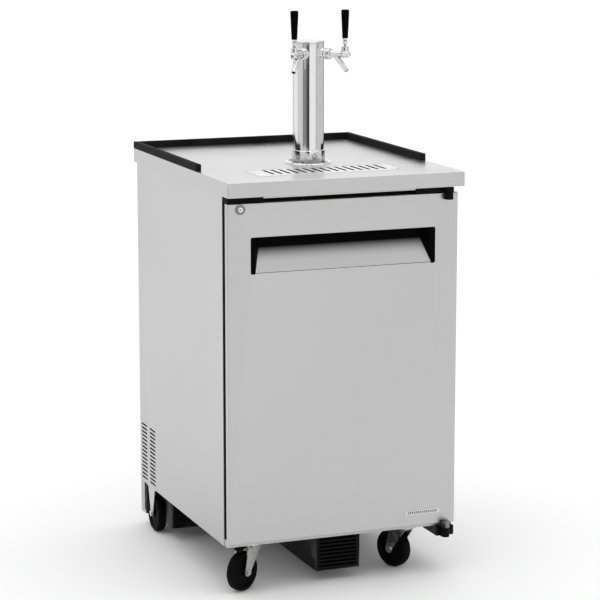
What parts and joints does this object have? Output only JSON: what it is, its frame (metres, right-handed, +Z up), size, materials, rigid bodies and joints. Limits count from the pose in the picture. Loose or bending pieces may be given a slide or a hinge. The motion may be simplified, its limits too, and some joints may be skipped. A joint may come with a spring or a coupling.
{
  "type": "kegerator",
  "caption": "Stainless one-keg beer dispenser cabinet on castors, with a right-hinged door, recessed grip, flush drip tray, worktop bumpers and a column tower with lever taps.",
  "frame": {"origin": "middle of the footprint on the floor, under the centre of the worktop", "axes": "+Z up, -Y towards the door and the user, +X to the user's right"},
  "size_m": [0.6, 0.73, 1.3746],
  "materials": {
    "stainless_panel": "satin",
    "stainless_top": "satin",
    "galvanised_sheet": "satin",
    "liner_sheet": "satin",
    "foam": "matte",
    "black_plastic": "matte",
    "inner_panel": "satin",
    "gasket_rubber": "matte",
    "black_steel": "satin",
    "tower_steel": "satin",
    "chrome_plate": "polished",
    "badge_plate": "satin",
    "zinc_steel": "satin",
    "wheel_rubber": "matte",
    "copper_tube": "satin",
    "coil_fins": "satin"
  },
  "bodies": {
    "cabinet": {"side_panel_left": "stainless_panel", "side_panel_right": "stainless_panel", "back_panel": "stainless_panel", "worktop": "stainless_top", "drip_tray": "stainless_top", "rear_cover": "galvanised_sheet", "base_pan": "galvanised_sheet", "condenser_shroud": "galvanised_sheet", "liner": "liner_sheet", "evaporator_cover": "liner_sheet", "insulation": "foam", "front_frame": "black_plastic", "guard_rails": "black_plastic", "strike_cap": "black_plastic", "thermostat_box": "black_plastic", "machine_housing": "black_steel", "air_duct": "black_steel", "hinge_bracket_top": "black_steel", "hinge_bracket_bottom": "black_steel", "compressor": "black_steel", "tower_column": "tower_steel", "tower_cap": "tower_steel", "tower_flange": "chrome_plate", "shanks": "chrome_plate", "coupling_nuts": "chrome_plate", "tap_bodies": "chrome_plate", "bonnets": "chrome_plate", "castor_plates": "zinc_steel", "rear_brackets": "zinc_steel", "refrigerant_pipes": "copper_tube", "condenser": "coil_fins", "evaporator_coil": "coil_fins"},
    "door": {"door_skin": "stainless_panel", "door_core": "foam", "door_liner": "inner_panel", "door_gasket": "gasket_rubber", "grip_cup": "black_plastic", "grip_ramp": "stainless_panel", "badge": "badge_plate", "hinge_knuckles": "black_steel", "lock_bezel": "chrome_plate"},
    "lock": {"lock_plug": "chrome_plate"},
    "grate": {"drip_grate": "stainless_top"},
    "tap_lever_left": {"lever_left": "chrome_plate", "handle_left": "black_plastic"},
    "tap_lever_right": {"lever_right": "chrome_plate", "handle_right": "black_plastic"},
    "tap_plunger_left": {"plunger_left": "chrome_plate"},
    "tap_plunger_right": {"plunger_right": "chrome_plate"},
    "castor_left": {"castor_fork_left": "zinc_steel"},
    "castor_right": {"castor_fork_right": "zinc_steel"},
    "brake_left": {"brake_pedal_left": "black_steel"},
    "brake_right": {"brake_pedal_right": "black_steel"},
    "wheel_front_left": {"front_wheel_left": "wheel_rubber"},
    "wheel_front_right": {"front_wheel_right": "wheel_rubber"},
    "wheel_rear_left": {"rear_wheel_left": "wheel_rubber"},
    "wheel_rear_right": {"rear_wheel_right": "wheel_rubber"},
    "condenser_fan_rotor": {"condenser_fan": "black_plastic"},
    "evaporator_fan_rotor": {"evaporator_fan": "black_plastic"},
    "thermostat_knob": {"thermostat_dial": "black_plastic"}
  },
  "joints": [
    {"name": "door_hinge", "type": "hinge", "parent": "cabinet", "child": "door", "pos_m": [0.266, -0.351, 0.53], "axis": [0, 0, 1], "range_deg": [0, 115], "stiffness_Nm_per_rad": 0.8, "springref_deg": -28.65},
    {"name": "lock_turn", "type": "hinge", "parent": "door", "child": "lock", "pos_m": [-0.261, -0.34, 0.932], "axis": [0, -1, 0], "range_deg": [0, 90]},
    {"name": "drip_grate_lift", "type": "slide", "parent": "cabinet", "child": "grate", "axis": [0, 0, 1], "range_m": [0, 0.08]},
    {"name": "tap_lever_left", "type": "hinge", "parent": "cabinet", "child": "tap_lever_left", "pos_m": [-0.05361, -0.15047, 1.281], "axis": [0.7547, -0.6561, 0], "range_deg": [0, 28]},
    {"name": "tap_plunger_left", "type": "slide", "parent": "cabinet", "child": "tap_plunger_left", "axis": [-0.6561, -0.7547, 0], "range_m": [-0.006, 0]},
    {"name": "tap_lever_right", "type": "hinge", "parent": "cabinet", "child": "tap_lever_right", "pos_m": [0.07761, -0.15047, 1.281], "axis": [0.7547, 0.6561, 0], "range_deg": [0, 28]},
    {"name": "tap_plunger_right", "type": "slide", "parent": "cabinet", "child": "tap_plunger_right", "axis": [0.6561, -0.7547, 0], "range_m": [-0.006, 0]},
    {"name": "castor_swivel_left", "type": "hinge", "parent": "cabinet", "child": "castor_left", "pos_m": [-0.214, -0.276, 0.109], "axis": [0, 0, 1], "continuous": true},
    {"name": "castor_wheel_left", "type": "hinge", "parent": "castor_left", "child": "wheel_front_left", "pos_m": [-0.24453, -0.29508, 0.048], "axis": [0.5299, -0.848, 0], "continuous": true},
    {"name": "castor_brake_left", "type": "hinge", "parent": "castor_left", "child": "brake_left", "pos_m": [-0.23986, -0.29216, 0.1094], "axis": [-0.5299, 0.848, 0], "range_deg": [0, 10]},
    {"name": "castor_swivel_right", "type": "hinge", "parent": "cabinet", "child": "castor_right", "pos_m": [0.19, -0.276, 0.109], "axis": [0, 0, 1], "continuous": true},
    {"name": "castor_wheel_right", "type": "hinge", "parent": "castor_right", "child": "wheel_front_right", "pos_m": [0.17479, -0.24337, 0.048], "axis": [-0.9063, -0.4226, 0], "continuous": true},
    {"name": "castor_brake_right", "type": "hinge", "parent": "castor_right", "child": "brake_right", "pos_m": [0.17711, -0.24836, 0.1094], "axis": [0.9063, 0.4226, 0], "range_deg": [0, 10]},
    {"name": "rear_wheel_left", "type": "hinge", "parent": "cabinet", "child": "wheel_rear_left", "pos_m": [-0.278, 0.268, 0.048], "axis": [1, 0, 0], "continuous": true},
    {"name": "rear_wheel_right", "type": "hinge", "parent": "cabinet", "child": "wheel_rear_right", "pos_m": [0.278, 0.268, 0.048], "axis": [1, 0, 0], "continuous": true},
    {"name": "condenser_fan_spin", "type": "hinge", "parent": "cabinet", "child": "condenser_fan_rotor", "pos_m": [0.125, 0.269, 0.133], "axis": [0, 1, 0], "continuous": true},
    {"name": "evaporator_fan_spin", "type": "hinge", "parent": "cabinet", "child": "evaporator_fan_rotor", "pos_m": [0, 0.203, 0.794], "axis": [0, 1, 0], "continuous": true},
    {"name": "thermostat_turn", "type": "hinge", "parent": "cabinet", "child": "thermostat_knob", "pos_m": [0.145, 0.053, 0.88], "axis": [0, -1, 0], "range_deg": [0, 270]}
  ],
  "couplings": [
    {"joint": "tap_plunger_left", "follows": "tap_lever_left", "m_per_rad": -0.0115},
    {"joint": "tap_plunger_right", "follows": "tap_lever_right", "m_per_rad": -0.0115}
  ]
}
